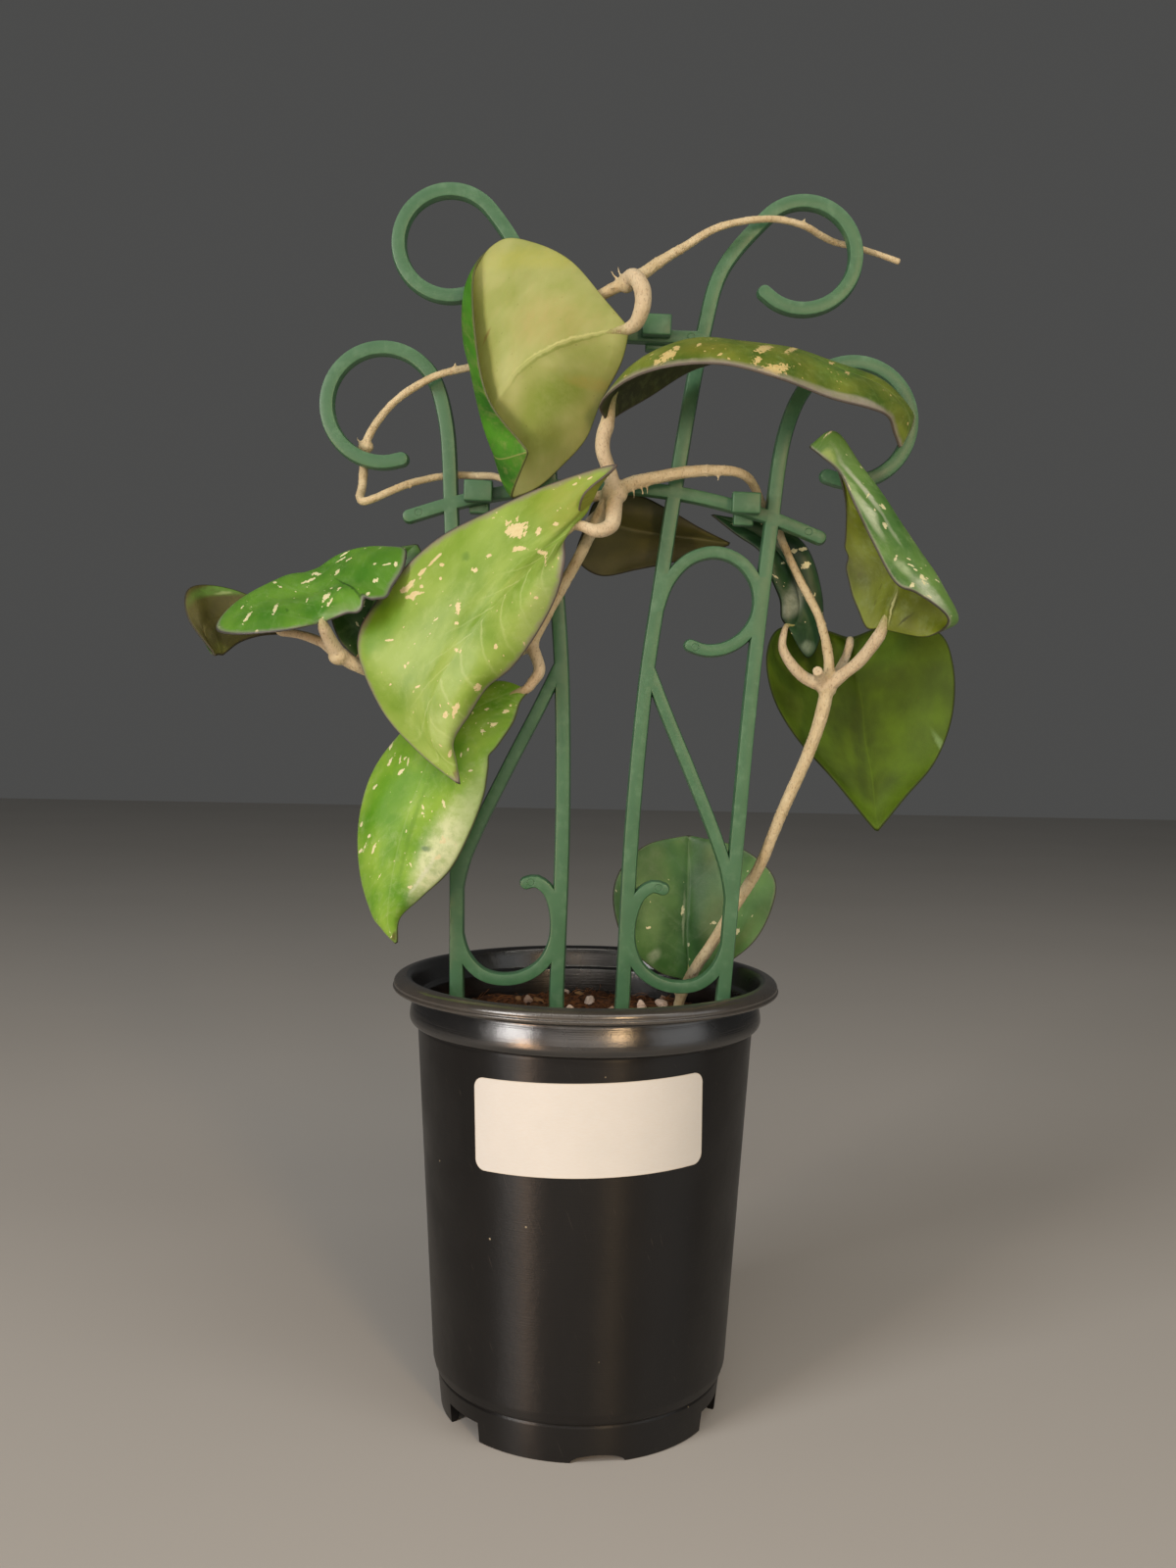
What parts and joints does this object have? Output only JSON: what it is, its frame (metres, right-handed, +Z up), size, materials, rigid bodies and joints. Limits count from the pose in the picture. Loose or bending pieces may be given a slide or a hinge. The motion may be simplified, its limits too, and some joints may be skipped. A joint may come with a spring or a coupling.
{
  "type": "potted climbing houseplant",
  "caption": "Waxy-leaved climbing vine wound on a small green fan trellis with curled ends, in a round black plastic pot with a blank label.",
  "frame": {"origin": "on the surface the pot stands on, at the centre of the object's box seen from above; the pot's axis is 4.5 mm towards +X", "axes": "+Z up, +X to the right along the trellis, +Y away from the label (the label and the front leaf face -Y)"},
  "size_m": [0.2267, 0.112, 0.3524],
  "materials": {
    "pot_plastic": "black injection-moulded plastic, semi-gloss",
    "label_paper": "matt paper label, bare",
    "potting_mix": "damp coir and bark with white grains",
    "trellis_plastic": "sage green moulded plastic, satin",
    "vine_bark": "woody stem, dry",
    "leaf_wax": "waxy leaf, upper side and paler underside"
  },
  "bodies": {
    "root": {"pot": "pot_plastic", "label": "label_paper", "soil": "potting_mix", "trellis": "trellis_plastic", "vine": "vine_bark", "leaf_top": "leaf_wax", "leaf_front": "leaf_wax", "leaf_lower_left": "leaf_wax", "leaf_left": "leaf_wax", "leaf_far_left": "leaf_wax", "leaf_back_left": "leaf_wax", "leaf_arching": "leaf_wax", "leaf_right": "leaf_wax", "leaf_back_right": "leaf_wax", "leaf_dark": "leaf_wax", "leaf_centre_back": "leaf_wax", "leaf_soil": "leaf_wax"}
  },
  "joints": []
}
